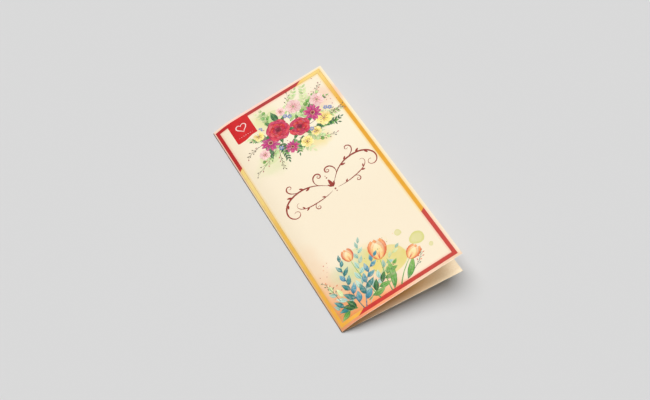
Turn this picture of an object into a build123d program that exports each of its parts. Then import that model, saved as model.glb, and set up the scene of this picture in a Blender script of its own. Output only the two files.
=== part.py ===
"""Tall greeting card folded once from a single sheet, lying on its back panel with the cover sprung ajar.

The fold runs along Y at the -X side, the free edges are at the +X side and the top of the cover is at +Y.
The origin is on the surface that the card lies on, under the middle of the back panel.
"""

import math
import os

from build123d import *

# Format: a 210 x 210 mm sheet folded down the middle, for a 110 x 220 mm envelope
PANEL_WIDTH = 105.0  # fold to free edge, with the card pressed shut
PANEL_HEIGHT = 210.0  # along the fold
STOCK = 0.35  # thickness of the card, about 350 g per square metre

# The fold and the way the stiff card springs open from it
FOLD_RADIUS = 0.25  # inside of the fold
REST_ANGLE = 13.3  # slope of the flat part of the cover over the back panel, in degrees
SPRING_TURN = 19.2  # extra slope of the cover where it leaves the fold, in degrees
SPRING_LENGTH = 20.0  # stretch of the cover in which that extra slope dies out

# Worked out from the sizes above
FOLD_OUTER_RADIUS = FOLD_RADIUS + STOCK
FOLD_MIDDLE_RADIUS = FOLD_RADIUS + STOCK / 2
LEAVING_ANGLE = REST_ANGLE + SPRING_TURN
SPRING_RADIUS = SPRING_LENGTH / math.radians(SPRING_TURN)
BACK_RUN = PANEL_WIDTH - FOLD_OUTER_RADIUS
# What the open fold doesn't bend, it gives back to the cover
COVER_RUN = BACK_RUN + FOLD_MIDDLE_RADIUS * math.radians(LEAVING_ANGLE) - SPRING_LENGTH


def sheet_section():
    """End view of the sheet: its outer face is drawn from the back panel's free edge round to the cover's,
    and the thickness of the card is then laid on the inside of that line."""
    with BuildSketch(Plane.XZ) as section:
        with BuildLine():
            back = Line((PANEL_WIDTH / 2, 0), (PANEL_WIDTH / 2 - BACK_RUN, 0))
            fold = JernArc(back @ 1, back % 1, FOLD_OUTER_RADIUS, LEAVING_ANGLE - 180)
            spring = JernArc(fold @ 1, fold % 1, SPRING_RADIUS, -SPRING_TURN)
            Line(spring @ 1, spring @ 1 + (spring % 1) * COVER_RUN)
            offset(amount=STOCK, side=Side.RIGHT)
        make_face()
    return section.sketch


def folded_card():
    """The whole card: the section carried along the fold, half to either side of the middle."""
    return extrude(sheet_section(), PANEL_HEIGHT / 2, both=True)


os.makedirs("parts", exist_ok=True)
card = folded_card()
card.label = "folded_card"
export_step(card, "parts/folded_card.step")
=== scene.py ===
"""Dresses the folded greeting card: its sheet of stock, the print on the cover, and the table it lies on.

The print is drawn flat, in millimetres on the open sheet, and is then laid round the fold with it. On the
flat sheet u runs over the cover from the outside of the fold to the free edge, and v from the near end to
the far end. The back panel has a negative u.
"""

import math
import random
from contextlib import contextmanager

import bpy
from bpy.props import FloatProperty, FloatVectorProperty, PointerProperty
from bpy.types import Operator, Panel, PropertyGroup
from mathutils import Matrix, Vector, noise
from mathutils.geometry import delaunay_2d_cdt


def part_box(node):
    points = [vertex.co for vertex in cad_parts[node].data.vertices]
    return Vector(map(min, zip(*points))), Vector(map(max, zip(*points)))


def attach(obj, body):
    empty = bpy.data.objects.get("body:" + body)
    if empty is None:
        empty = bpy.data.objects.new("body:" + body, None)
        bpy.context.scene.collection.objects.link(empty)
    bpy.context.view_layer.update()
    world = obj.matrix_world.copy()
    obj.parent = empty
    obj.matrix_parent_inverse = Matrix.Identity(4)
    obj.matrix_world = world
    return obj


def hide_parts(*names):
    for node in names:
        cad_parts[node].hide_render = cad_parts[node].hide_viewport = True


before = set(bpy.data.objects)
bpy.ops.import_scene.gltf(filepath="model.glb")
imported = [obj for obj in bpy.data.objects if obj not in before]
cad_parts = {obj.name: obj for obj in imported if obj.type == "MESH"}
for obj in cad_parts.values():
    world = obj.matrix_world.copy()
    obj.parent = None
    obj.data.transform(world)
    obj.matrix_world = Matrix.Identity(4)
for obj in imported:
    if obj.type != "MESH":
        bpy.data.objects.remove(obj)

bl_info = {
    "name": "Folded greeting card",
    "version": (1, 0, 0),
    "blender": (4, 5, 0),
    "location": "3D View > Sidebar > Card",
    "description": "Builds a folded card with its printed cover, and a table and light to show it in",
    "category": "Add Mesh",
}

MM = 0.001
NODE = "folded_card"
LOW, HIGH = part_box(NODE)
PANEL_WIDTH = (HIGH.x - LOW.x) / MM  # fold to free edge
PANEL_HEIGHT = (HIGH.y - LOW.y) / MM  # along the fold
FIT = 0.2 * MM  # how closely the folded sheet has to reach as far as its node


def linear(code):
    """An sRGB hex value as the linear colour that Blender works in."""
    shares = [int(code[i : i + 2], 16) / 255 for i in (1, 3, 5)]
    return [s / 12.92 if s <= 0.04045 else ((s + 0.055) / 1.055) ** 2.4 for s in shares]


# What a user would change


def size_of(name, description, millimetres):
    metres = millimetres * MM
    return FloatProperty(name=name, description=description, default=metres, min=0.0, unit="LENGTH")


def turn_of(name, description, degrees):
    return FloatProperty(name=name, description=description, default=math.radians(degrees), unit="ROTATION")


def colour_of(name, description, code):
    return FloatVectorProperty(
        name=name, description=description, default=linear(code), size=3, min=0.0, max=1.0, subtype="COLOR"
    )


class CardSizes(PropertyGroup):
    """Sizes of the sheet, of the way it is folded, and of the frame and tag printed on it."""

    stock: size_of("Stock", "Thickness of the card", 0.35)
    fold_radius: size_of("Fold radius", "Inside radius of the fold", 0.25)
    rest_angle: turn_of("Rest angle", "Slope of the flat part of the cover", 13.3)
    spring_turn: turn_of("Spring turn", "Extra slope of the cover where it leaves the fold", 19.2)
    spring_length: size_of("Spring length", "Stretch of the cover in which the extra slope dies out", 20.0)
    margin_fold: size_of("Margin at the fold", "Fold to the printed frame", 1.65)
    margin_free: size_of("Margin at the free edge", "Printed frame to the free edge", 2.65)
    margin_near: size_of("Near margin", "Near end of the card to the printed frame", 2.15)
    margin_far: size_of("Far margin", "Printed frame to the far end of the card", 2.15)
    stripe: size_of("Stripe", "Width of the printed frame", 3.15)
    edging: size_of("Edging", "Width of the deeper line along both edges of the frame", 0.28)
    tag_place: size_of("Tag place", "Fold to the printed tag", 12.65)
    tag_width: size_of("Tag width", "Width of the printed tag", 19.15)
    tag_drop: size_of("Tag drop", "Printed frame to the lower end of the tag", 20.0)
    ink_lift: size_of("Ink lift", "Height of the print over the stock", 0.03)


class CardColours(PropertyGroup):
    """Colours of the stock and of the plain inks."""

    stock: colour_of("Stock", "Cream of the stock", "#FCEDD1")
    red: colour_of("Red", "Red of the frame", "#CD4035")
    amber: colour_of("Amber", "Amber of the frame", "#EEA922")
    tag: colour_of("Tag", "Red of the tag", "#D80C12")
    table: colour_of("Table", "Table and background", "#D9D9D9")


def sizes():
    return bpy.context.scene.card_sizes


def colours():
    return bpy.context.scene.card_colours


# The folded sheet


def at(u, v):
    """A place on the flat sheet."""
    return Vector((u, v))


class FoldedLine:
    """End view of the sheet's outer face: where a place u of the flat sheet goes when it is folded."""

    def __init__(self):
        card = sizes()
        self.outer = (card.fold_radius + card.stock) / MM
        self.rest = card.rest_angle
        self.leaving = card.rest_angle + card.spring_turn
        self.fold_start = -self.outer * math.pi / 2
        self.fold_end = self.outer * (math.pi / 2 - self.leaving)
        self.spring = card.spring_length / MM
        self.spring_end = self.fold_end + self.spring
        self.spring_radius = self.spring / card.spring_turn
        back_run = PANEL_WIDTH - self.outer
        middle = (card.fold_radius + card.stock / 2) / MM
        self.back_edge = self.fold_start - back_run
        self.free_edge = self.fold_end + back_run + middle * self.leaving
        self.fold_centre = Vector((self.outer - PANEL_WIDTH / 2, self.outer))
        leaves_at = self.fold_centre + self.outer * self.outward(self.leaving)
        self.spring_centre = leaves_at - self.spring_radius * self.outward(self.leaving)
        self.rests_from = self.spring_centre + self.spring_radius * self.outward(self.rest)

    @staticmethod
    def outward(heading):
        """Which way the outer face looks where the sheet runs at this angle over the table."""
        return Vector((-math.sin(heading), math.cos(heading)))

    def at(self, u):
        """Point of the outer face in the end view, and the way it looks there."""
        if u < self.fold_start:
            return Vector((self.fold_centre.x + self.fold_start - u, 0.0)), Vector((0.0, -1.0))
        if u < self.fold_end:
            look = self.outward(math.pi / 2 - u / self.outer)
            return self.fold_centre + self.outer * look, look
        if u < self.spring_end:
            look = self.outward(self.leaving - (u - self.fold_end) / self.spring_radius)
            return self.spring_centre + self.spring_radius * look, look
        along = Vector((math.cos(self.rest), math.sin(self.rest)))
        return self.rests_from + (u - self.spring_end) * along, self.outward(self.rest)

    def place(self, u, v, lift=0.0):
        """A spot of the flat sheet, in millimetres, as a point of the folded card, in metres."""
        point, look = self.at(u)
        point = point + lift * look
        return Vector((point.x, v - PANEL_HEIGHT / 2, point.y)) * MM

    def bend_stations(self, low, high):
        """Places 1 mm apart between low and high at which a flat shape is cut to follow the spring."""
        count = round(self.spring)
        stations = [self.fold_end + self.spring * i / count for i in range(count + 1)]
        return [u for u in stations if low < u < high]


# The printed frame


def frame_box():
    """Outer corners of the printed frame on the flat sheet, in millimetres."""
    card = sizes()
    low = at(card.margin_fold, card.margin_near) / MM
    return low, at(FoldedLine().free_edge, PANEL_HEIGHT) - at(card.margin_free, card.margin_far) / MM


# Two slanted lines across the cover, through these places, part the frame's red corners from its amber ones
SLANT = Vector((-math.sin(math.radians(28.3)), math.cos(math.radians(28.3)), 0))
LOWER_CHANGE = SLANT.dot(Vector((100.9, 47.2, 0)))
UPPER_CHANGE = SLANT.dot(Vector((3.2, 164.1, 0)))


# Work on a piece


@contextmanager
def editing(piece):
    """Edit mode on one piece, with nothing else selected and all of it selected."""
    bpy.ops.object.select_all(action="DESELECT")
    piece.select_set(True)
    bpy.context.view_layer.objects.active = piece
    bpy.ops.object.mode_set(mode="EDIT")
    bpy.ops.mesh.select_all(action="SELECT")
    yield
    bpy.ops.object.mode_set(mode="OBJECT")


def flat_grid(name, low, high, columns, rows):
    """A flat grid between two corners, drawn in millimetres as if they were metres."""
    middle = (low + high) / 2
    bpy.ops.object.select_all(action="DESELECT")
    bpy.ops.mesh.primitive_grid_add(
        x_subdivisions=columns, y_subdivisions=rows, size=1, location=(middle.x, middle.y, 0)
    )
    piece = bpy.context.object
    piece.name = piece.data.name = name
    piece.scale = (high.x - low.x, high.y - low.y, 1)
    bpy.ops.object.transform_apply(location=True, rotation=False, scale=True)
    return piece


def cut_across(piece, stations):
    """Cuts a flat piece along lines of constant u."""
    with editing(piece):
        for u in stations:
            bpy.ops.mesh.select_all(action="SELECT")
            bpy.ops.mesh.bisect(plane_co=(u, 0, 0), plane_no=(1, 0, 0))


def lay(piece, line, lift=0.0):
    """Carries a flat piece from the open sheet to the folded card. Its map Print keeps u and v."""
    mesh = piece.data
    while mesh.uv_layers:
        mesh.uv_layers.remove(mesh.uv_layers[0])
    spots = [c for loop in mesh.loops for c in mesh.vertices[loop.vertex_index].co.xy]
    mesh.uv_layers.new(name="Print").uv.foreach_set("vector", spots)
    for vertex in mesh.vertices:
        vertex.co = line.place(vertex.co.x, vertex.co.y, lift)
    mesh.update()


def apply_modifier(piece, kind, **settings):
    """Adds a modifier with its settings and applies it."""
    modifier = piece.modifiers.new(kind.title(), kind)
    for key, value in settings.items():
        setattr(modifier, key, value)
    bpy.ops.object.select_all(action="DESELECT")
    piece.select_set(True)
    bpy.context.view_layer.objects.active = piece
    bpy.ops.object.modifier_apply(modifier=modifier.name)


def hand_over(piece, *materials):
    """Gives a finished piece its materials and the body it moves with."""
    for material in materials:
        piece.data.materials.append(material)
    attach(piece, "root")


# Materials


def add(tree, kind, inputs=(), out=0, **settings):
    """Adds a node with its settings and links, and returns one of its outputs. The inputs are given in
    order, or by name or number."""
    made = tree.nodes.new(kind)
    for key, value in settings.items():
        setattr(made, key, value)
    for key, value in inputs.items() if isinstance(inputs, dict) else enumerate(inputs):
        if isinstance(value, bpy.types.NodeSocket):
            tree.links.new(value, made.inputs[key])
        else:
            made.inputs[key].default_value = value
    return made.outputs[out] if len(made.outputs) else None


# Settings that many nodes share: an eased change of range, and a mix of colours. The inputs 0, 6 and 7 of
# the mix are its share and its two colours
EASED = {"interpolation_type": "SMOOTHSTEP"}
BLEND = {"data_type": "RGBA", "out": 2}


def rgba(code):
    return [*linear(code), 1.0]


def new_material(name):
    material = bpy.data.materials.new(name)
    material.use_nodes = True
    material.node_tree.nodes.clear()
    return material, material.node_tree


def grain(tree, size, detail=2.0):
    """Noise with grains of about this many millimetres, on the piece's own coordinates."""
    where = add(tree, "ShaderNodeTexCoord", out=3)
    return add(tree, "ShaderNodeTexNoise", {"Vector": where, "Scale": 1 / (size * MM), "Detail": detail})


def matt_finish(tree, colour, roughness, tooth):
    """Matt coated card: a soft broad sheen over a faint tooth. The real tooth is about 0.1 mm and is drawn
    0.6 mm wide, so that it still catches the light from a step away."""
    relief = {"Strength": tooth, "Distance": 0.05 * MM, "Height": grain(tree, 0.6, 4.0)}
    shader = {"Base Color": colour, "Roughness": roughness, "Specular IOR Level": 0.15}
    shader["Normal"] = add(tree, "ShaderNodeBump", relief)
    add(tree, "ShaderNodeOutputMaterial", (add(tree, "ShaderNodeBsdfPrincipled", shader),))


def toned(tree, colour, code, measure, start, end, least, most):
    """Mixes a second colour into the first, in a share that eases from the least to the most while a
    measure goes from start to end."""
    share = add(tree, "ShaderNodeMapRange", (measure, start, end, least, most), **EASED)
    return add(tree, "ShaderNodeMix", {0: share, 6: colour, 7: rgba(code)}, **BLEND)


def in_oval(tree, spot, u, v, reach_u, reach_v):
    """How far a spot lies from the middle of an oval, where its rim is at 1."""
    off = add(tree, "ShaderNodeVectorMath", (spot, (u, v, 0)), operation="SUBTRACT")
    off = add(tree, "ShaderNodeVectorMath", (off, (reach_u, reach_v, 1)), operation="DIVIDE")
    return add(tree, "ShaderNodeVectorMath", (off,), out=1, operation="LENGTH")


def washed(tree, spot, colour, washes):
    """Lays soft oval washes over a colour: place u, v, reach u, reach v, colour and strength of each."""
    for *oval, code, strength in washes:
        colour = toned(tree, colour, code, in_oval(tree, spot, *oval), 0.1, 1.0, strength, 0.0)
    return colour


def blotted(tree, spot, colour, blots):
    """Lays oval drops, given as washes are, with crisp rims where pigment gathered as they dried."""
    for *oval, code, strength in blots:
        far = in_oval(tree, spot, *oval)
        inside_rim = add(tree, "ShaderNodeMapRange", (far, 0.94, 1.0, strength, 0.0), **EASED)
        pigment = add(tree, "ShaderNodeMapRange", (far, 0.5, 0.97, 0.72, 1.0), **EASED)
        cover = add(tree, "ShaderNodeMath", (inside_rim, pigment), operation="MULTIPLY")
        colour = add(tree, "ShaderNodeMix", {0: cover, 6: colour, 7: rgba(code)}, **BLEND)
    return colour


# Soft washes of the cover, in millimetres on the flat sheet
WASHES = (
    (85, 165, 90, 90, "#FFF6DC", 0.7),
    (14, -4, 56, 56, "#F3A468", 1.0),
    (42, -3, 32, 27, "#FFA458", 0.95),
    (0, 10, 30, 90, "#FFAA62", 0.45),
    (6, 6, 26, 22, "#EA904C", 0.8),
    (27, 34, 20, 18, "#CFD8A2", 0.75),
    (47, 34, 22, 17, "#F2D574", 0.9),
    (66, 24, 15, 12, "#DDD680", 0.7),
    (90, 181, 22, 18, "#FACBB2", 0.65),
    (40, 190, 22, 16, "#E6E69C", 0.75),
    (66, 151, 19, 13, "#F6E08A", 0.7),
    (28, 151, 20, 13, "#E2E6B0", 0.6),
)
# Drops under the pictures
BLOTS = (
    (37, 40, 12, 11, "#D3DF9C", 0.5),
    (59, 27, 14, 12, "#EAD768", 0.7),
    (85, 31, 6.2, 5.6, "#D6D56E", 0.85),
    (75, 43, 2.6, 2.6, "#D6D56E", 0.7),
    (91, 20, 1.8, 1.8, "#D6D56E", 0.7),
    (29, 159, 9, 7, "#DCE5A2", 0.55),
    (48, 190, 8, 7, "#D6E29C", 0.55),
    (84, 165, 9, 10, "#F8E7A2", 0.5),
)
# Washes that keep close to an edge of the card and don't wander. The fourth is a faint darker tone 18 mm
# wide along the fold. The last is painted shade: a dark line along the fold that stands for the shade under
# its rounded edge and on the table beside it
EDGE_WASHES_AND_FOLD_SHADE = (
    (85, -1, 70, 6, "#FFD6B4", 0.95),
    (22, -1, 62, 6, "#F49A6E", 0.95),
    (40, 211, 62, 9, "#FFD0C4", 0.9),
    (0, 110, 18, 900, "#F8DFB4", 0.12),
    (104, 178, 6, 13, "#F8C4AE", 0.5),
    (0, 190, 3, 70, "#FBCFC0", 0.8),
    (0, 40, 3, 90, "#E8B584", 0.75),
    (0, 105, 1.1, 900, "#402C20", 1.0),
)
# Where the halo of the frame's colours starts and ends, in millimetres from the middle of its stripe
HALO_START, HALO_END = 0.4, 4.0


def bled(tree, spot, colour):
    """Lets the frame's colours bleed up to 2.4 mm into the card on both sides of its stripe."""
    low, high = frame_box()
    half = (high - low - at(1, 1) * sizes().stripe / MM) / 2
    off = add(tree, "ShaderNodeVectorMath", (spot, (*(low + high) / 2, 0)), operation="SUBTRACT")
    off = add(tree, "ShaderNodeVectorMath", (off,), operation="ABSOLUTE")
    off = add(tree, "ShaderNodeVectorMath", (off, (*half, 0)), operation="SUBTRACT")
    sides = add(tree, "ShaderNodeSeparateXYZ", (off,)).node.outputs
    off = add(tree, "ShaderNodeMath", (sides[0], sides[1]), operation="MAXIMUM")
    off = add(tree, "ShaderNodeMath", (off,), operation="ABSOLUTE")
    bleed = add(tree, "ShaderNodeMapRange", (off, HALO_START, HALO_END, 1.0, 0.0), **EASED)
    height = add(tree, "ShaderNodeVectorMath", (spot, SLANT), out=1, operation="DOT_PRODUCT")
    height = add(tree, "ShaderNodeMath", (height, (LOWER_CHANGE + UPPER_CHANGE) / 2), operation="SUBTRACT")
    height = add(tree, "ShaderNodeMath", (height,), operation="ABSOLUTE")
    change = (UPPER_CHANGE - LOWER_CHANGE) / 2
    ink = toned(tree, rgba("#FFE68C"), "#FFC9C4", height, change - 1, change + 1, 0.0, 1.0)
    return add(tree, "ShaderNodeMix", {0: bleed, 6: colour, 7: ink}, blend_type="MULTIPLY", **BLEND)


# Inside, painted shade and light: a warm brown tone painted towards the fold, where the panels shade each
# other, and a paler tone painted along the near end, where light comes in
INSIDE_PAINTED_SHADE_AND_LIGHT = (
    (-14, 105, 106, 900, "#F5AD27", 1.0),
    (-40, 105, 50, 900, "#955516", 0.75),
    (-40, -1, 110, 9, "#FAEBD0", 0.4),
)


def printed_cover():
    """Matt coated card, printed all over by offset with soft watercolour washes. To the eye it is warm
    cream with clouds of coral, citron and pink whose edges wander, and no gloss. A dark line of painted
    shade runs along the fold."""
    material, tree = new_material("Matt card with printed washes and painted fold shade")
    spot = add(tree, "ShaderNodeUVMap", uv_map="Print")
    # In swirls of about 18 mm, the washes wander by up to 6 mm and the drops by up to 1.5 mm
    swirl = add(tree, "ShaderNodeTexNoise", {"Vector": spot, "Scale": 1 / 18, "Detail": 3.0}, out=1)
    swirl = add(tree, "ShaderNodeVectorMath", (swirl, (0.5, 0.5, 0.5)), operation="SUBTRACT")
    wash_spot = add(tree, "ShaderNodeVectorMath", (swirl, (22, 22, 0)), operation="MULTIPLY")
    wash_spot = add(tree, "ShaderNodeVectorMath", (spot, wash_spot), operation="ADD")
    drop_spot = add(tree, "ShaderNodeVectorMath", (swirl, (5, 5, 0)), operation="MULTIPLY")
    drop_spot = add(tree, "ShaderNodeVectorMath", (spot, drop_spot), operation="ADD")
    bare = [*colours().stock, 1.0]
    colour = washed(tree, wash_spot, bare, WASHES)
    colour = blotted(tree, drop_spot, colour, BLOTS)
    colour = bled(tree, spot, colour)
    # The last of these edge washes is painted shade: a dark line along the fold
    colour = washed(tree, spot, colour, EDGE_WASHES_AND_FOLD_SHADE)
    # Pigment settles unevenly, in clouds of about 7 mm
    cloud = add(tree, "ShaderNodeTexNoise", {"Vector": spot, "Scale": 1 / 7, "Detail": 4.0})
    colour = toned(tree, colour, "#FDF1D8", cloud, 0.35, 0.75, 0.0, 0.1)
    # The washes stop at the fold: the outside of the back panel is bare
    across = add(tree, "ShaderNodeSeparateXYZ", (spot,))
    cover = add(tree, "ShaderNodeMapRange", (across, -1.6, -1.1, 0.0, 1.0), **EASED)
    colour = add(tree, "ShaderNodeMix", {0: cover, 6: bare, 7: colour}, **BLEND)
    matt_finish(tree, colour, roughness=0.55, tooth=0.08)
    return material


def bare_stock(name, code, deep, washes=()):
    """Uncoated card: cream pulp with faint flecks about 1.5 mm apart, chalky to the eye, no gloss."""
    material, tree = new_material(name)
    colour = toned(tree, rgba(deep), code, grain(tree, 1.5, 5.0), 0.35, 0.75, 0.0, 1.0)
    colour = washed(tree, add(tree, "ShaderNodeUVMap", uv_map="Print"), colour, washes)
    matt_finish(tree, colour, roughness=0.8, tooth=0.15)
    return material


# Where the plain inks turn yellower, deeper or warmer
AMBER_WASHES = (
    (96, 208, 34, 48, "#FEDC80", 0.95),
    (3, 75, 16, 140, "#F8C456", 1.0),
    (3, 146, 16, 60, "#FFE08C", 1.0),
    (8, 4, 48, 64, "#FFBA48", 0.9),
)
RED_WASHES = (
    (46, 208, 70, 12, "#B4302E", 0.9),
    (10, 208, 30, 12, "#C4161E", 0.8),
    (3, 190, 16, 44, "#C22428", 0.9),
    (30, 4, 50, 16, "#D42C20", 0.9),
)
# The tan edging is hardly seen along the free edge
TAN_WASHES = ((101, 100, 8, 400, "#EDB04A", 1.0),)


def plain_ink(name, colour, depth, washes=()):
    """Offset ink laid solid on matt card: even, a little uneven in density in patches of about 5 mm, and a
    touch smoother than the stock."""
    material, tree = new_material(name)
    spot = add(tree, "ShaderNodeUVMap", uv_map="Print")
    colour = washed(tree, spot, [*colour, 1.0], washes)
    density = add(tree, "ShaderNodeMapRange", (grain(tree, 5.0, 3.0), 0.3, 0.7, 1.0, 1.0 - depth), **EASED)
    colour = add(tree, "ShaderNodeHueSaturation", {"Value": density, "Color": colour})
    matt_finish(tree, colour, roughness=0.5, tooth=0.05)
    return material


def tag_ink():
    """The ink of the tag, which the frame has too where the tag hangs from it."""
    name = "Offset ink, tag red"
    return bpy.data.materials.get(name) or plain_ink(name, colours().tag, 0.15)


def watercolour(name, base, body, tip, edge, water):
    """Watercolour printed by offset. Along a stroke the pigment goes from its base colour to its tip. It
    dries darker at the edges, thins out in wet patches of about 2.5 mm and granulates at about 0.5 mm."""
    material, tree = new_material(name)
    brush = add(tree, "ShaderNodeUVMap", uv_map="Brush")
    across, along = add(tree, "ShaderNodeSeparateXYZ", (brush,)).node.outputs[:2]
    colour = toned(tree, rgba(base), body, along, 0.0, 0.55, 0.0, 1.0)
    colour = toned(tree, colour, tip, along, 0.45, 1.0, 0.0, 1.0)
    colour = toned(tree, colour, "#FFF3DC", grain(tree, 2.5, 3.0), 0.42, 0.68, 0.0, water)
    rim = add(tree, "ShaderNodeMath", (across,), operation="ABSOLUTE")
    colour = toned(tree, colour, edge, rim, 0.6, 1.0, 0.0, 0.75)
    tint = add(tree, "ShaderNodeAttribute", out=2, attribute_name="Tint")
    bright = add(tree, "ShaderNodeMapRange", (tint, -1.0, 1.0, 0.86, 1.12), **EASED)
    speck = add(tree, "ShaderNodeMapRange", (grain(tree, 0.5), 0.3, 0.7, 0.94, 1.05), **EASED)
    value = add(tree, "ShaderNodeMath", (bright, speck), operation="MULTIPLY")
    hue = add(tree, "ShaderNodeMapRange", (tint, -1.0, 1.0, 0.49, 0.51), **EASED)
    colour = add(tree, "ShaderNodeHueSaturation", {"Hue": hue, "Value": value, "Color": colour})
    matt_finish(tree, colour, roughness=0.52, tooth=0.05)
    return material


# Inks of the pictures: colour at the stroke's base, body, tip and edge, and how much wet patches thin it
INKS = {
    "crimson": ("#6E0A28", "#C21438", "#DC304E", "#960A2A", 0.08),
    "rose": ("#9E0E32", "#D42046", "#E65068", "#A8102F", 0.1),
    "carmine": ("#3E0818", "#86102C", "#B01A38", "#52091E", 0.05),
    "magenta": ("#7A1650", "#C42A74", "#E674A6", "#A01E64", 0.12),
    "blush": ("#F0909E", "#FAD0CA", "#FDE4DA", "#EE9EA6", 0.3),
    "primrose": ("#EEB23C", "#FAE084", "#FDEFBA", "#F0C860", 0.3),
    "mist": ("#D2DE98", "#E2E9B2", "#F0F2C8", "#CCDA90", 0.3),
    "sage": ("#9CC070", "#C2DA92", "#DDEAB6", "#98BC6A", 0.3),
    "meadow": ("#3C8838", "#76B04E", "#AED07A", "#347834", 0.2),
    "forest": ("#164726", "#276434", "#4A8C48", "#153F22", 0.12),
    "teal": ("#17605F", "#2A8682", "#68B2B0", "#17575E", 0.25),
    "lagoon": ("#2A5E80", "#4E9CB0", "#98CBD0", "#33729A", 0.3),
    "aqua": ("#8FC4B4", "#AFD4C0", "#CFE4CE", "#86BBB0", 0.3),
    "lilac": ("#5E6EA8", "#8090C4", "#BCC8E4", "#5464A4", 0.2),
    "flame": ("#D6402A", "#EE7444", "#F8B070", "#CE4428", 0.15),
    "peach": ("#F08C4A", "#F9C088", "#FCE2B4", "#E87040", 0.2),
    "apricot": ("#F4B05A", "#FBD898", "#FDEEC8", "#EC9A58", 0.25),
    "citron": ("#D8D060", "#E0DA7A", "#ECE6A2", "#CCC450", 0.2),
    "bark": ("#4A3828", "#5E4C36", "#80704E", "#3E2E20", 0.05),
    "berry": ("#86142A", "#B4203A", "#DA5A6C", "#821228", 0.1),
    "wine": ("#8C2618", "#9A2E1E", "#A83A28", "#842216", 0.05),
    "shell": ("#FCDAD4", "#FDE0DA", "#FDE8E2", "#F8CFC8", 0.0),
}


def ink_material(ink):
    name = "Watercolour, " + ink
    return bpy.data.materials.get(name) or watercolour(name, *INKS[ink])


# Brush marks, and first their shapes: the half width at each share f of the length


def disc(f):
    return math.sqrt(max(0.0, 1 - (2 * f - 1) ** 2))


def broad_petal(f):
    return math.sin(math.pi * f**1.45) ** 0.75


def slim_petal(f):
    return math.sin(math.pi * f**1.15) ** 0.6


def leaf_blade(f):
    return math.sin(math.pi * f**0.8) ** 1.15


def stalk(f):
    return 1 - 0.65 * f


def pointed_petal(f):
    return 1.6 * math.sqrt(f) * (1 - f**3)


def pen_swell(f):
    return 0.22 + 0.78 * math.sin(math.pi * f) ** 1.2


FINEST = 0.03  # half width at which a stroke ends, in millimetres
CHUNK = 6  # stretches of a stroke that are trimmed as one outline, few enough not to cross themselves
WOBBLE = 0.12  # unsteadiness of the hand, in millimetres


class Mark:
    """One stroke of a brush: its spine on the flat sheet, its half width at each point, and its ink."""

    def __init__(self, spine, reach, ink, tint=0.0):
        self.spine = spine
        self.reach = [max(r, FINEST) for r in reach]
        self.ink = ink
        self.tint = tint
        self.sides = []
        for i, point in enumerate(spine):
            run = (spine[min(i + 1, len(spine) - 1)] - spine[max(i - 1, 0)]).normalized()
            out = Vector((-run.y, run.x)) * self.reach[i]
            shake = min(WOBBLE, 0.4 * self.reach[i])
            self.sides.append((self.unsteady(point + out, shake), self.unsteady(point - out, shake)))

    @staticmethod
    def unsteady(point, shake):
        """Moves a point of an outline, by no more than shake, in a way that depends on its place alone."""
        way = noise.noise_vector(Vector((point.x, point.y, 0)) * 0.9)
        return point + shake * Vector((way.x, way.y))

    def outlines(self):
        """Both halves of each stretch of the stroke, between its spine and its edge."""
        last = len(self.spine) - 1
        for start in range(0, last, CHUNK):
            reach = range(start, min(start + CHUNK, last) + 1)
            for side in (0, 1):
                loop = [self.spine[i] for i in reach] + [self.sides[i][side] for i in reversed(reach)]
                yield loop if side == 0 else loop[::-1]

    def brush_place(self, point):
        """How far across (-1 to 1) and along (0 to 1) the stroke a point lies."""
        nearest = None
        for i in range(len(self.spine) - 1):
            start, run = self.spine[i], self.spine[i + 1] - self.spine[i]
            f = min(1.0, max(0.0, (point - start).dot(run) / max(run.length_squared, 1e-9)))
            off = point - start - f * run
            if nearest is None or off.length < nearest[0]:
                side = 1 if run.x * off.y > run.y * off.x else -1
                reach = self.reach[i] + f * (self.reach[i + 1] - self.reach[i])
                nearest = (off.length, side * min(1.0, off.length / reach), i + f)
        return nearest[1], nearest[2] / (len(self.spine) - 1)


def toward(heading, distance):
    return Vector((math.cos(heading), math.sin(heading))) * distance


def arc(start, heading, length, bend=0.0, steps=9):
    """Spine that runs off at a heading and turns evenly, with its points closer together at both ends."""
    spine = []
    for i in range(steps + 1):
        f = (1 - math.cos(math.pi * i / steps)) / 2
        chord = length * f if abs(bend) < 1e-4 else 2 * length / bend * math.sin(bend * f / 2)
        spine.append(start + toward(heading + bend * f / 2, chord))
    return spine


def curl(start, heading, length, bends, steps):
    """Spine of a scroll: its turning changes smoothly from each value of bends, in radians, to the next."""
    spine = [start]
    for i in range(steps):
        f = (i + 0.5) / steps * (len(bends) - 1)
        low = min(int(f), len(bends) - 2)
        heading += (bends[low] + (f - low) * (bends[low + 1] - bends[low])) / steps
        spine.append(spine[-1] + toward(heading, length / steps))
    return spine


def stroke(shape, ink, spine, width, tint=0.0):
    last = len(spine) - 1
    return Mark(spine, [shape(i / last) * width / 2 for i in range(last + 1)], ink, tint)


def blade(shape, ink, start, heading, length, width, bend=0.0, tint=0.0, steps=9):
    """A petal, leaf or dot: one press of the brush from its base."""
    reach = [shape((1 - math.cos(math.pi * i / steps)) / 2) * width / 2 for i in range(steps + 1)]
    return Mark(arc(start, heading, length, bend, steps), reach, ink, tint)


def dot(ink, centre, radius, tint=0.0):
    steps, across = 6 if radius < 1 else 12, 2 * radius
    return blade(disc, ink, centre - at(0, radius), math.pi / 2, across, across, tint=tint, steps=steps)


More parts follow.
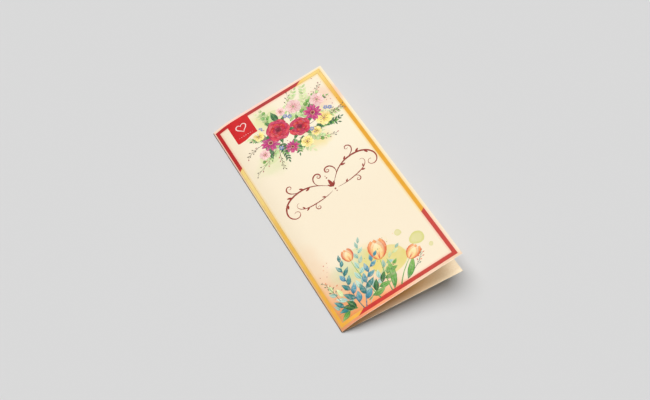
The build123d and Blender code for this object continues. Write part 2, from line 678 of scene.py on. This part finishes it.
def film(name, marks, line, lift):
    """Trims overlapping marks to what shows from above and lays them on the cover as one film of ink. Each
    face keeps its mark's ink, its place in the stroke as the map Brush, and its tint."""
    points, faces, owners, edges = [], [], [], []
    for number, mark in enumerate(marks):
        for loop in mark.outlines():
            faces.append(list(range(len(points), len(points) + len(loop))))
            owners.append(number)
            points.extend(loop)
    low, high = min(p.x for p in points), max(p.x for p in points)
    lowest, highest = min(p.y for p in points), max(p.y for p in points)
    for u in line.bend_stations(low, high):
        edges.append((len(points), len(points) + 1))
        points += [Vector((u, lowest - 1)), Vector((u, highest + 1))]
    spots, _, triangles, _, _, origins = delaunay_2d_cdt(points, edges, faces, 1, 1e-5)
    shown = [(corners, marks[owners[max(origin)]]) for corners, origin in zip(triangles, origins) if origin]
    used = sorted({i for corners, _ in shown for i in corners})
    renumbered = {old: new for new, old in enumerate(used)}
    mesh = bpy.data.meshes.new(name)
    mesh.from_pydata(
        [line.place(spots[i].x, spots[i].y, lift) for i in used],
        [],
        [[renumbered[i] for i in corners] for corners, _ in shown],
    )
    inks = sorted({mark.ink for mark in marks})
    mesh.polygons.foreach_set("material_index", [inks.index(mark.ink) for _, mark in shown])
    mesh.attributes.new("Tint", "FLOAT", "FACE")
    mesh.attributes["Tint"].data.foreach_set("value", [mark.tint for _, mark in shown])
    places = [c for corners, mark in shown for i in corners for c in mark.brush_place(spots[i])]
    mesh.uv_layers.new(name="Brush").uv.foreach_set("vector", places)
    # Flat and without overlaps, for baking the film's colours
    wide, tall = high - low, highest - lowest
    flat = []
    for corners, _ in shown:
        for i in corners:
            flat += [(spots[i].x - low) / wide, (spots[i].y - lowest) / tall]
    mesh.uv_layers.new(name="OFBake").uv.foreach_set("vector", flat)
    piece = bpy.data.objects.new(name, mesh)
    bpy.context.scene.collection.objects.link(piece)
    hand_over(piece, *[ink_material(ink) for ink in inks])
    return piece


# Flowers and leaves of the pictures, each a list of marks from the lowest to the topmost

# Which ink draws the midrib of a leaf
MIDRIB = {
    "mist": "sage", "sage": "meadow", "meadow": "forest", "forest": "meadow",
    "teal": "lagoon", "lagoon": "teal", "aqua": "teal",
}


def leaf(ink, base, heading, length, width, bend=0.0, tint=0.0, shape=leaf_blade):
    marks = [blade(shape, ink, base, heading, length, width, bend, tint, 7 if length < 6 else 9)]
    if length > 5:
        marks.append(stroke(stalk, MIDRIB[ink], arc(base, heading, length * 0.8, bend * 0.8, 5), 0.3))
    return marks


def ring(rng, shape, ink, centre, count, start, length, width, inner=0.0, bend=0.3):
    """Petals set round a centre, no two quite alike."""
    marks = []
    for i in range(count):
        heading = start + math.tau * i / count + rng.uniform(-0.1, 0.1)
        reach = length * rng.uniform(0.92, 1.06)
        base = centre + toward(heading, inner)
        bent = rng.uniform(-bend, bend)
        marks.append(blade(shape, ink, base, heading, reach, width, bent, rng.uniform(-1, 1)))
    return marks


def rose(rng, centre, radius):
    """Full rose seen from above: rings of broad petals, lighter outside, round a rolled heart."""
    start, marks = rng.uniform(0, math.tau), []
    for i in range(5):
        heading = start + math.tau * (i + 0.5) / 5
        base = centre + toward(heading, radius * 0.6)
        marks += leaf("forest", base, heading, radius * 0.75, radius * 0.3)
    for ink, size, count, offset in (
        ("rose", 1.0, 6, 0.0), ("rose", 0.82, 6, 0.5), ("crimson", 0.66, 5, 0.2), ("crimson", 0.46, 4, 0.8),
    ):
        length = radius * size
        marks += ring(rng, broad_petal, ink, centre, count, start + offset, length, length * 1.05)
    for i in range(5):
        heading = start + math.tau * i / 5
        base = centre + toward(heading, radius * 0.2)
        marks.append(blade(slim_petal, "carmine", base, heading + 1.8, radius * 0.36, radius * 0.11, 1.6))
    return marks + [dot("carmine", centre, radius * 0.11, -1)]


def aster(rng, centre, radius):
    """Two rings of slender rays round a dark eye with a collar of pollen."""
    start = rng.uniform(0, math.tau)
    marks = ring(rng, slim_petal, "magenta", centre, 12, start, radius, radius * 0.38, radius * 0.1)
    short, slim = radius * 0.7, radius * 0.3
    marks += ring(rng, slim_petal, "magenta", centre, 10, start + 0.2, short, slim, radius * 0.1)
    marks.append(dot("carmine", centre, radius * 0.19, -0.5))
    for i in range(9):
        marks.append(dot("primrose", centre + toward(math.tau * i / 9, radius * 0.22), radius * 0.045))
    return marks


def blossom(rng, centre, radius, ink="blush", eye="berry", heart="sage"):
    """Five petals notched at the tip, each of two presses of the brush, with stamens from a small heart."""
    start, marks = rng.uniform(0, math.tau), []
    for i in range(5):
        heading = start + math.tau * i / 5
        tint = rng.uniform(-0.5, 1)
        for lean in (-0.27, 0.27):
            way = heading + lean
            marks.append(blade(broad_petal, ink, centre, way, radius, radius * 0.72, -lean * 0.8, tint))
    for i in range(5):
        way = start + math.tau * i / 5
        marks.append(stroke(stalk, eye, arc(centre, way, radius * 0.55, 0.0, 4), 0.28))
    marks.append(dot(heart, centre, radius * 0.15))
    for i in range(8):
        way = start + math.tau * (i + 0.5) / 8
        tip = centre + toward(way, radius * rng.uniform(0.3, 0.42))
        marks.append(stroke(stalk, eye, [centre, tip], 0.22))
        marks.append(dot(eye, tip, 0.28))
    return marks


def tulip(rng, base, heading, size):
    """Tulip from the side: a petal behind, two that wrap the cup, and paler ones in front."""
    marks = []
    for ink, lean, length, width, bend in (
        ("flame", 0.05, 1.0, 0.42, 0.0),
        ("flame", -0.56, 1.04, 0.46, 0.7),
        ("flame", 0.56, 1.0, 0.46, -0.7),
        ("peach", -0.3, 0.93, 0.5, 0.4),
        ("peach", 0.32, 0.9, 0.48, -0.4),
        ("apricot", 0.0, 0.8, 0.54, 0.05),
    ):
        way, tint = heading + lean, rng.uniform(-0.4, 1)
        marks.append(blade(pointed_petal, ink, base, way, size * length, size * width, bend, tint))
    for lean in (-0.16, 0.0, 0.16):
        spine = arc(base, heading + lean, size * rng.uniform(0.36, 0.5), 0.0, 4)
        marks.append(stroke(stalk, "flame", spine, size * 0.035))
    return marks


def sprig(rng, start, heading, length, bend, shape, inks, size, ratio, gap, lean, paired=True, thick=0.5):
    """A stalk with leaves to both sides, in pairs or one side after the other, and smaller towards the tip.
    The leaves have a size, a ratio of width to length, a gap between them and a lean from the stalk."""
    marks = [stroke(stalk, inks[0], arc(start, heading, length, bend, 12), thick)]
    count = max(2, round(length / gap))
    for i in range(count + 1):
        f = 0.14 + 0.86 * i / count
        node = arc(start, heading, length * f, bend * f, 2)[-1]
        reach = size * (1.1 - 0.5 * f)
        if i == count:
            sides = (0,)
        elif paired:
            sides = (1, -1)
        else:
            sides = (1,) if i % 2 else (-1,)
        for side in sides:
            turn = heading + bend * f + side * lean * rng.uniform(0.85, 1.15)
            long, bent = reach * rng.uniform(0.88, 1.1), side * rng.uniform(-0.5, 0.1)
            ink, tint = rng.choice(inks), rng.uniform(-1, 1)
            marks += leaf(ink, node, turn, long, reach * ratio, bent, tint, shape)
    return marks


def berry_twig(rng, start, heading, length, bend, ink="bark", fruit="berry"):
    """A thin forked twig with a small fruit or bud at the end of each fork."""
    marks = [stroke(stalk, ink, arc(start, heading, length, bend, 10), 0.4)]
    for i in range(8):
        f = 0.26 + 0.1 * i
        node = arc(start, heading, length * f, bend * f, 2)[-1]
        side = 1 if i % 2 else -1
        turn = heading + bend * f + side * rng.uniform(0.5, 0.8)
        fork = arc(node, turn, length * rng.uniform(0.1, 0.17) * (1.3 - 0.7 * f), -side * 0.4, 4)
        marks.append(stroke(stalk, ink, fork, 0.26))
        bud = rng.choice((ink, ink, fruit))
        marks.append(blade(leaf_blade, bud, fork[-1], turn, 1.7, 0.85, 0, rng.uniform(-1, 1), 5))
    return marks


def grown(rng, grow, stems, *kind, **settings):
    """What grows on stems, each with a foot u, v, a heading in degrees, a length and a bend."""
    marks = []
    for u, v, heading, length, bend in stems:
        marks += grow(rng, at(u, v), math.radians(heading), length, bend, *kind, **settings)
    return marks


def small_flower(centre, radius):
    """Five round petals in one press each, and an eye."""
    ways = [math.tau * i / 5 + 0.4 for i in range(5)]
    marks = [dot("lilac", centre + toward(way, radius * 0.6), radius * 0.42) for way in ways]
    return marks + [dot("primrose", centre, radius * 0.24)]


def speckles(rng, centre, reach, count, inks):
    """Fine drops shaken off the brush."""
    marks = []
    for _ in range(count):
        spot = centre + Vector((rng.gauss(0, reach.x), rng.gauss(0, reach.y)))
        marks.append(dot(rng.choice(inks), spot, rng.uniform(0.14, 0.45), rng.uniform(-1, 1)))
    return marks


def inside(marks, low, high):
    """The marks that keep within two corners."""
    return [m for m in marks if all(low.x < p.x < high.x and low.y < p.y < high.y for p in m.spine)]


def posy():
    """The upper picture: a garland that falls from left to right, with sprigs to all sides."""
    rng = random.Random(5)
    # From the back to the front: airy sprigs, forked twigs, round leaves, dark leaves and single leaves
    airy = (
        (46, 180, 96, 22, 0.5), (60, 184, 62, 24, -0.4), (40, 166, 226, 20, -0.4), (78, 170, -34, 20, 0.5),
        (34, 178, 160, 18, -0.5), (72, 182, 52, 24, 0.4), (56, 158, -80, 15, 0.3),
    )
    inks = ("mist", "mist", "sage")
    marks = grown(rng, sprig, airy, leaf_blade, inks, size=6.4, ratio=0.44, gap=3.4, lean=0.9)
    twigs = (
        (42, 166, 218, 34, -0.35), (70, 166, 6, 32, -0.35), (60, 180, 80, 24, -0.4),
        (62, 156, -38, 24, 0.4), (30, 172, 176, 17, 0.5), (84, 182, 62, 17, -0.4),
        (38, 160, 246, 18, 0.3), (80, 166, -16, 20, 0.5),
    )
    marks += grown(rng, berry_twig, twigs)
    round_leaved = (
        (46, 182, 116, 19, -0.5), (66, 174, 48, 27, -0.5), (42, 168, 196, 21, 0.4), (64, 160, -62, 17, 0.5),
    )
    inks = ("sage", "sage", "meadow")
    marks += grown(rng, sprig, round_leaved, disc, inks, size=4.8, ratio=0.9, gap=3.8, lean=1.15)
    dark = (
        (44, 166, 246, 19, 0.4), (70, 162, -24, 24, 0.4), (74, 178, 22, 20, -0.4), (36, 176, 150, 13, 0.4),
        (54, 160, 262, 13, -0.3), (80, 164, -56, 14, 0.3),
    )
    inks = ("forest", "forest", "meadow")
    marks += grown(rng, sprig, dark, leaf_blade, inks, size=5.4, ratio=0.4, gap=2.8, lean=0.8)
    for u, v, heading, length in (
        (44, 182, 84, 14), (55, 184, 64, 13), (38, 172, 205, 13), (52, 162, 268, 13), (66, 162, -50, 14),
        (70, 172, 10, 14), (58, 178, 40, 15), (40, 178, 140, 13), (74, 170, -30, 14), (32, 166, 250, 11),
        (60, 160, 240, 12), (50, 184, 104, 12),
    ):
        ink, bend = rng.choice(("sage", "meadow", "forest")), rng.uniform(-0.6, 0.6)
        marks += leaf(ink, at(u, v), math.radians(heading), length, width=5.4, bend=bend, tint=0.4)
    # Yellow and pink blossoms, asters, two roses, and small flowers and drops between them
    for u, v, radius in ((82, 164, 7.0), (30, 181, 4.8), (60, 153, 5.6), (71, 157, 4.6)):
        marks += blossom(rng, at(u, v), radius, "primrose", "bark", "peach")
    for u, v, radius in ((67, 189, 7.0), (86, 183, 6.4), (26, 163, 4.8), (56, 191, 4.4)):
        marks += blossom(rng, at(u, v), radius)
    for u, v, radius in ((35, 170, 7.4), (77, 174, 7.2), (48, 156, 5.4)):
        marks += aster(rng, at(u, v), radius)
    marks += rose(rng, at(62, 169), 9.4)
    marks += rose(rng, at(46, 177), 10.4)
    for u, v in ((57, 185), (60, 182.5), (40, 160.5), (88, 172), (91, 170), (69, 161), (34, 186)):
        marks += small_flower(at(u, v), 2.0)
    marks += speckles(rng, at(56, 172), at(20, 13), 80, ("berry", "magenta", "sage", "primrose", "peach"))
    marks += speckles(rng, at(93, 186), at(5, 9), 30, ("berry", "rose", "blush"))
    kept = inside(marks, at(10, 140), at(103, 206))
    # The tag and its surroundings stay clear
    return [m for m in kept if not any(p.x < 33.5 and p.y > 184 for p in m.spine)]


def spray():
    """The lower picture: fronds that fan out of the near corner, with tulips among them."""
    rng = random.Random(9)
    pale = {"size": 9.0, "ratio": 0.42, "gap": 5.0, "lean": 0.6, "paired": False}
    strong = {"size": 10.5, "ratio": 0.42, "gap": 4.8, "lean": 0.62, "paired": False, "thick": 0.8}
    # From the back to the front: pale fronds, two broad leaves, tulips, strong fronds, twigs and drops
    fronds = ((22, 8, 116, 42, 0.2), (28, 8, 76, 48, -0.3), (30, 6, 44, 46, -0.3), (18, 7, 150, 17, -0.3))
    marks = grown(rng, sprig, fronds, leaf_blade, ("aqua", "mist", "aqua"), **pale)
    for u, v, heading, length, bend in ((50, 5, 58, 26, 0.5), (62, 6, 36, 19, 0.4)):
        ink = rng.choice(("meadow", "forest"))
        marks += leaf(ink, at(u, v), math.radians(heading), length, width=5.0, bend=bend, tint=0.2)
    for u, v, heading, length, bend, size in (
        (48, 5, 84, 27, -0.2, 17.0), (56, 5, 54, 21, -0.4, 12.5), (38, 5, 102, 38, -0.25, 11.0),
    ):
        spine = arc(at(u, v), math.radians(heading), length, bend, 12)
        marks.append(stroke(stalk, "meadow", spine, 1.0))
        marks += tulip(rng, spine[-1], math.radians(heading) + bend, size)
    for *stem, inks in (
        (24, 5, 100, 42, -0.5, ("teal", "lagoon", "teal")),
        (22, 6, 136, 26, 0.45, ("teal", "teal", "forest")),
        (26, 5, 66, 40, -0.5, ("lagoon", "teal", "lagoon")),
        (30, 8, 20, 32, 0.2, ("meadow", "forest", "meadow")),
        (20, 8, 164, 14, 0.3, ("meadow", "forest")),
    ):
        marks += grown(rng, sprig, (stem,), leaf_blade, inks, **strong)
    twigs = ((12, 20, 94, 19, 0.2), (70, 10, 24, 15, 0.4))
    marks += grown(rng, berry_twig, twigs, "forest", "flame")
    drops = speckles(rng, at(16, 30), at(6, 12), 40, ("peach", "blush", "berry", "flame"))
    drops += speckles(rng, at(58, 36), at(13, 9), 30, ("citron", "peach", "meadow"))
    return inside(marks, at(5, 2), at(98, 62)) + inside(drops, at(6, 7), at(98, 62))


def flourish():
    """A pen flourish, mirrored about its middle and set at a slight slope. It is drawn round the place
    0, 0 and then moved to the middle of the cover."""
    main = curl(at(2.6, -2.6), math.radians(44), 74, (0.2, -3.0, -2.2, -5.0, -11.0, -34.0), 110)
    under = curl(at(3.0, -8.4), math.radians(-14), 40, (1.0, 1.0, 0.2, 1.2, 5.0, 22.0), 70)
    half = [(pen_swell, main, 1.4), (pen_swell, under, 0.85)]
    # Scrolls: which stroke they leave and where, at what turn, then length, bends and width
    for stem, f, turn, length, bends, width in (
        (main, 0.12, 10, 27, (3.5, 4.0, 10.0, 26.0), 1.15),
        (main, 0.36, 14, 23, (0.5, 3.0, 8.0, 20.0), 1.0),
        (under, 0.42, -16, 14, (-2.0, -6.0, -15.0), 0.75),
    ):
        start, heading = leaving(stem, f, turn)
        half.append((pen_swell, curl(start, heading, length, bends, round(2.4 * length)), width))
    # Small leaves along both strokes
    for stem, f, turn, length in (
        (main, 0.24, -55, 4.4), (main, 0.31, 55, 4.0), (main, 0.47, 60, 4.4), (main, 0.57, -50, 4.0),
        (under, 0.2, 60, 3.2), (under, 0.62, -55, 3.4), (under, 0.7, 60, 3.0),
    ):
        start, heading = leaving(stem, f, turn)
        half.append((leaf_blade, arc(start, heading, length, math.copysign(0.6, -turn)), length * 0.4))
    half.append((leaf_blade, arc(at(0.6, -4.6), math.radians(40), 4.4, 0.6), 1.6))
    middle = at(56, 110)
    turned = Matrix.Rotation(math.radians(5), 2) * 0.92
    marks = []
    for side in (1, -1):
        for shape, spine, width in half:
            placed = [turned @ at(side * p.x, p.y) + middle for p in spine]
            marks.append(stroke(shape, "wine", placed, width))
    bud = [turned @ p + middle for p in arc(at(0, -5.5), math.pi / 2, 8.5)]
    marks.append(stroke(leaf_blade, "wine", bud, 2.8))
    for height, radius in ((-8.2, 0.75), (-10.6, 0.5), (5.2, 0.6), (7.3, 0.4)):
        marks.append(dot("wine", turned @ at(0, height) + middle, radius))
    return marks


def leaving(stem, f, turn):
    """Where a side stroke leaves a stem, and at what heading."""
    i = round(f * (len(stem) - 1))
    run = stem[i + 1] - stem[i - 1]
    return stem[i], math.atan2(run.y, run.x) + math.radians(turn)


# Operators


class CARD_OT_fold_sheet(Operator):
    """Model the sheet of card, folded once, with a crisp cut edge all round"""

    bl_idname = "card.fold_sheet"
    bl_label = "Folded sheet"

    def execute(self, context):
        card, line = sizes(), FoldedLine()
        low, high = at(line.back_edge, 0), at(line.free_edge, PANEL_HEIGHT)
        piece = flat_grid("folded_sheet", low, high, 1, 60)
        fold_steps, panel_steps = 24, 24
        fold = line.fold_end - line.fold_start
        stations = [line.fold_start + fold * i / fold_steps for i in range(fold_steps)]
        stations += line.bend_stations(line.fold_end - 0.01, line.free_edge)
        for start, end in ((line.back_edge, line.fold_start), (line.spring_end, line.free_edge)):
            stations += [start + (end - start) * i / panel_steps for i in range(1, panel_steps)]
        cut_across(piece, stations)
        lay(piece, line)
        hand_over(
            piece,
            printed_cover(),
            # The inside carries painted shade towards the fold and painted light along its near end
            bare_stock("Card stock, inside, with painted shade and light", "#FAEBD0", "#F5E2C2", INSIDE_PAINTED_SHADE_AND_LIGHT),
            bare_stock("Card stock, cut edge", "#FFF9EA", "#FAEFD6"),
        )
        wall = {"thickness": card.stock, "offset": -1.0, "use_even_offset": True}
        apply_modifier(piece, "SOLIDIFY", **wall, material_offset=1, material_offset_rim=2)
        limit = {"limit_method": "ANGLE", "angle_limit": math.radians(60)}
        apply_modifier(piece, "BEVEL", width=0.04 * MM, segments=2, **limit)
        bpy.ops.object.shade_smooth_by_angle(angle=math.radians(35))
        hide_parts(NODE)
        spots = [vertex.co for vertex in piece.data.vertices]
        low, high = (Vector([pick(spot[i] for spot in spots) for i in range(3)]) for pick in (min, max))
        if (low - LOW).length > FIT or (high - HIGH).length > FIT:
            raise RuntimeError(f"folded sheet from {low} to {high}, but its node from {LOW} to {HIGH}")
        return {"FINISHED"}


class CARD_OT_print_frame(Operator):
    """Print the frame round the cover, in two colours that change over on slanted cuts"""

    bl_idname = "card.print_frame"
    bl_label = "Printed frame"

    def execute(self, context):
        card, line = sizes(), FoldedLine()
        low, high = frame_box()
        piece = flat_grid("frame_stripe", low, high, 1, 1)
        edging = card.edging / MM
        with editing(piece):
            for width in (edging, card.stripe / MM - 2 * edging, edging):
                bpy.ops.mesh.inset(thickness=width)
            bpy.ops.mesh.delete(type="FACE")
        with editing(piece):
            for change in (LOWER_CHANGE, UPPER_CHANGE):
                bpy.ops.mesh.select_all(action="SELECT")
                bpy.ops.mesh.bisect(plane_co=SLANT * change, plane_no=SLANT)
        # The stripe takes the tag's colour where the tag hangs from it
        tag_sides = [card.tag_place / MM, (card.tag_place + card.tag_width) / MM]
        cut_across(piece, line.bend_stations(low.x, high.x) + tag_sides)
        hand_over(
            piece,
            plain_ink("Offset ink, brick red", colours().red, 0.1, RED_WASHES),
            plain_ink("Offset ink, deep red edging", [c * 0.8 for c in colours().red], 0.1),
            plain_ink("Offset ink, amber", colours().amber, 0.06, AMBER_WASHES),
            plain_ink("Offset ink, tan edging", linear("#DCB47C"), 0.1, TAN_WASHES),
            tag_ink(),
        )
        # Faces take the inks above by number
        for face in piece.data.polygons:
            amber = LOWER_CHANGE < face.center.dot(SLANT) < UPPER_CHANGE
            x, y = face.center.x, face.center.y
            inward = min(x - low.x, high.x - x, y - low.y, high.y - y)
            edge = min(inward, card.stripe / MM - inward) < edging
            over_tag = y > PANEL_HEIGHT / 2 and tag_sides[0] < x < tag_sides[1]
            face.material_index = 4 if over_tag else 2 * int(amber) + int(edge)
        lay(piece, line, card.ink_lift / MM)
        return {"FINISHED"}


class CARD_OT_print_tag(Operator):
    """Print the red tag that hangs from the frame, with its wavy lower end and a plain heart"""

    bl_idname = "card.print_tag"
    bl_label = "Printed tag"

    def execute(self, context):
        card, line = sizes(), FoldedLine()
        top = PANEL_HEIGHT - (card.margin_far + card.stripe) / MM
        low = at(card.tag_place / MM, top - card.tag_drop / MM)
        high = at(low.x + card.tag_width / MM, top)
        piece = flat_grid("tag", low, high, 28, 2)
        # The lower end is rounded off at the left and rises in a soft step towards the right
        for vertex in piece.data.vertices:
            if vertex.co.y < low.y + 0.01:
                f = (vertex.co.x - low.x) / (high.x - low.x)
                round_left = 0.9 * max(0.0, 1 - f / 0.07) ** 2
                rise = min(1.0, max(0.0, (f - 0.3) / 0.5))
                vertex.co.y += round_left + 1.9 * (3 * rise**2 - 2 * rise**3)
        cut_across(piece, line.bend_stations(low.x, high.x))
        hand_over(piece, tag_ink())
        lay(piece, line, card.ink_lift / MM)
        # A heart drawn in two strokes, over a row of dots that get smaller to both sides
        middle = (low.x + high.x) / 2
        heart_height, dots_height = 197.6, 189.3
        marks = []
        for side in (1, -1):
            spine = []
            for i in range(25):
                a = math.pi * (1 - i / 24)
                rise = 13 * math.cos(a) - 5 * math.cos(2 * a) - 2 * math.cos(3 * a) - math.cos(4 * a)
                spine.append(at(middle + side * 4.4 * math.sin(a) ** 3, heart_height + 0.27 * rise))
            marks.append(stroke(pen_swell, "shell", spine, 0.9))
        for i in range(-3, 4):
            marks.append(dot("shell", at(middle + 2.0 * i, dots_height), 0.36 - 0.05 * abs(i)))
        film("tag_heart", marks, line, 2 * card.ink_lift / MM)
        return {"FINISHED"}


class CARD_OT_print_pictures(Operator):
    """Print the flowers at both ends of the cover and the pen flourish between them"""

    bl_idname = "card.print_pictures"
    bl_label = "Printed pictures"

    def execute(self, context):
        card, line = sizes(), FoldedLine()
        for name, marks in (("posy", posy()), ("flourish", flourish()), ("spray", spray())):
            film(name, marks, line, 2 * card.ink_lift / MM)
        return {"FINISHED"}


class CARD_OT_set_stage(Operator):
    """Set the card on a plain pale table, under a large soft box, with the camera looking down on it"""

    bl_idname = "card.set_stage"
    bl_label = "Table, light and camera"

    def execute(self, context):
        scene = context.scene
        # The table is 6 m wide, so that its edges stay out of sight
        bpy.ops.object.select_all(action="DESELECT")
        bpy.ops.mesh.primitive_plane_add(size=6)
        table = context.object
        table.name = "table"
        material, tree = new_material("Table, matt laminate")
        laminate = {"Base Color": [*colours().table, 1.0], "Roughness": 0.9, "Specular IOR Level": 0.1}
        add(tree, "ShaderNodeOutputMaterial", (add(tree, "ShaderNodeBsdfPrincipled", laminate),))
        table.data.materials.append(material)

        sky = bpy.data.worlds.new("Soft box")
        sky.use_nodes = True
        sky.node_tree.nodes.clear()
        tree = sky.node_tree
        rays = add(tree, "ShaderNodeLightPath").node
        seen = rays.outputs["Is Camera Ray"]
        for kind in ("Is Glossy Ray", "Is Transmission Ray"):
            seen = add(tree, "ShaderNodeMath", (seen, rays.outputs[kind]), operation="MAXIMUM")
        fill = add(tree, "ShaderNodeBackground", {"Color": (1.0, 1.0, 1.0, 1.0), "Strength": 0.03})
        shown = add(tree, "ShaderNodeBackground", {"Color": [*colours().table, 1.0], "Strength": 1.0})
        add(tree, "ShaderNodeOutputWorld", (add(tree, "ShaderNodeMixShader", (seen, fill, shown)),))
        scene.world = sky

        # A large soft box overhead and a little behind, so that the shadow falls in front and fades softly
        bpy.ops.object.light_add(type="SUN")
        lamp = context.object
        lamp.name = "soft_box"
        lamp.data.energy = 3.31
        lamp.data.angle = math.radians(52)
        lamp.rotation_mode = "QUATERNION"
        lamp.rotation_quaternion = Vector((0.0, 0.39, 0.92)).to_track_quat("Z", "Y")

        # A white reflector in front of the gap throws light between the panels. None of it reaches the
        # table, not by a bounce either
        bpy.ops.object.light_add(type="AREA")
        reflector = context.object
        reflector.name = "reflector"
        reflector.data.shape = "RECTANGLE"
        reflector.data.size, reflector.data.size_y = 0.1, 0.018
        reflector.data.energy = 0.0245
        reflector.data.cycles.max_bounces = 0
        reflector.location = (0.019, -0.13, 0.014)
        reflector.rotation_euler = (math.radians(90), 0, 0)
        lit = bpy.data.collections.new("lit_by_reflector")
        lit.objects.link(bpy.data.objects["folded_sheet"])
        reflector.light_linking.receiver_collection = lit

        # The camera stands where a fit to the edges of the card in the photo puts it, given here in
        # millimetres from the middle of the card
        azimuth, elevation = math.radians(-29.646), math.radians(55.188)
        right = Vector((math.cos(azimuth), math.sin(azimuth), 0))
        back = Vector((right.y, -right.x, math.tan(elevation))).normalized()
        up = back.cross(right)
        bpy.ops.object.camera_add()
        camera = context.object
        camera.name = "camera"
        camera.rotation_mode = "QUATERNION"
        camera.location = (-5.823 * right - 0.453 * up + 814.669 * back) * MM
        camera.rotation_quaternion = (-back).to_track_quat("-Z", "Y")
        camera.data.sensor_width = 36.0
        camera.data.lens = 57.41
        camera.data.clip_start, camera.data.clip_end = 0.05, 20
        scene.camera = camera
        scene.view_settings.view_transform = "Standard"
        return {"FINISHED"}


class CARD_PT_pieces(Panel):
    """The card's pieces and settings in the 3D view's sidebar"""

    bl_idname = "CARD_PT_pieces"
    bl_label = "Greeting card"
    bl_space_type = "VIEW_3D"
    bl_region_type = "UI"
    bl_category = "Card"

    def draw(self, context):
        for operator in OPERATORS:
            self.layout.operator(operator.bl_idname)
        for group in (sizes(), colours()):
            for name in group.__annotations__:
                self.layout.prop(group, name)


OPERATORS = (
    CARD_OT_fold_sheet, CARD_OT_print_frame, CARD_OT_print_tag, CARD_OT_print_pictures, CARD_OT_set_stage,
)
CLASSES = (CardSizes, CardColours, *OPERATORS, CARD_PT_pieces)


def register():
    noise.seed_set(5)  # or else the unsteadiness of the brush would differ from run to run
    for item in CLASSES:
        bpy.utils.register_class(item)
    bpy.types.Scene.card_sizes = PointerProperty(type=CardSizes)
    bpy.types.Scene.card_colours = PointerProperty(type=CardColours)


def unregister():
    del bpy.types.Scene.card_sizes
    del bpy.types.Scene.card_colours
    for item in reversed(CLASSES):
        bpy.utils.unregister_class(item)


def main():
    register()
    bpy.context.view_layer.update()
    bpy.ops.card.fold_sheet()
    bpy.ops.card.print_frame()
    bpy.ops.card.print_tag()
    bpy.ops.card.print_pictures()
    bpy.ops.card.set_stage()
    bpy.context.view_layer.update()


if __name__ == "__main__":
    main()
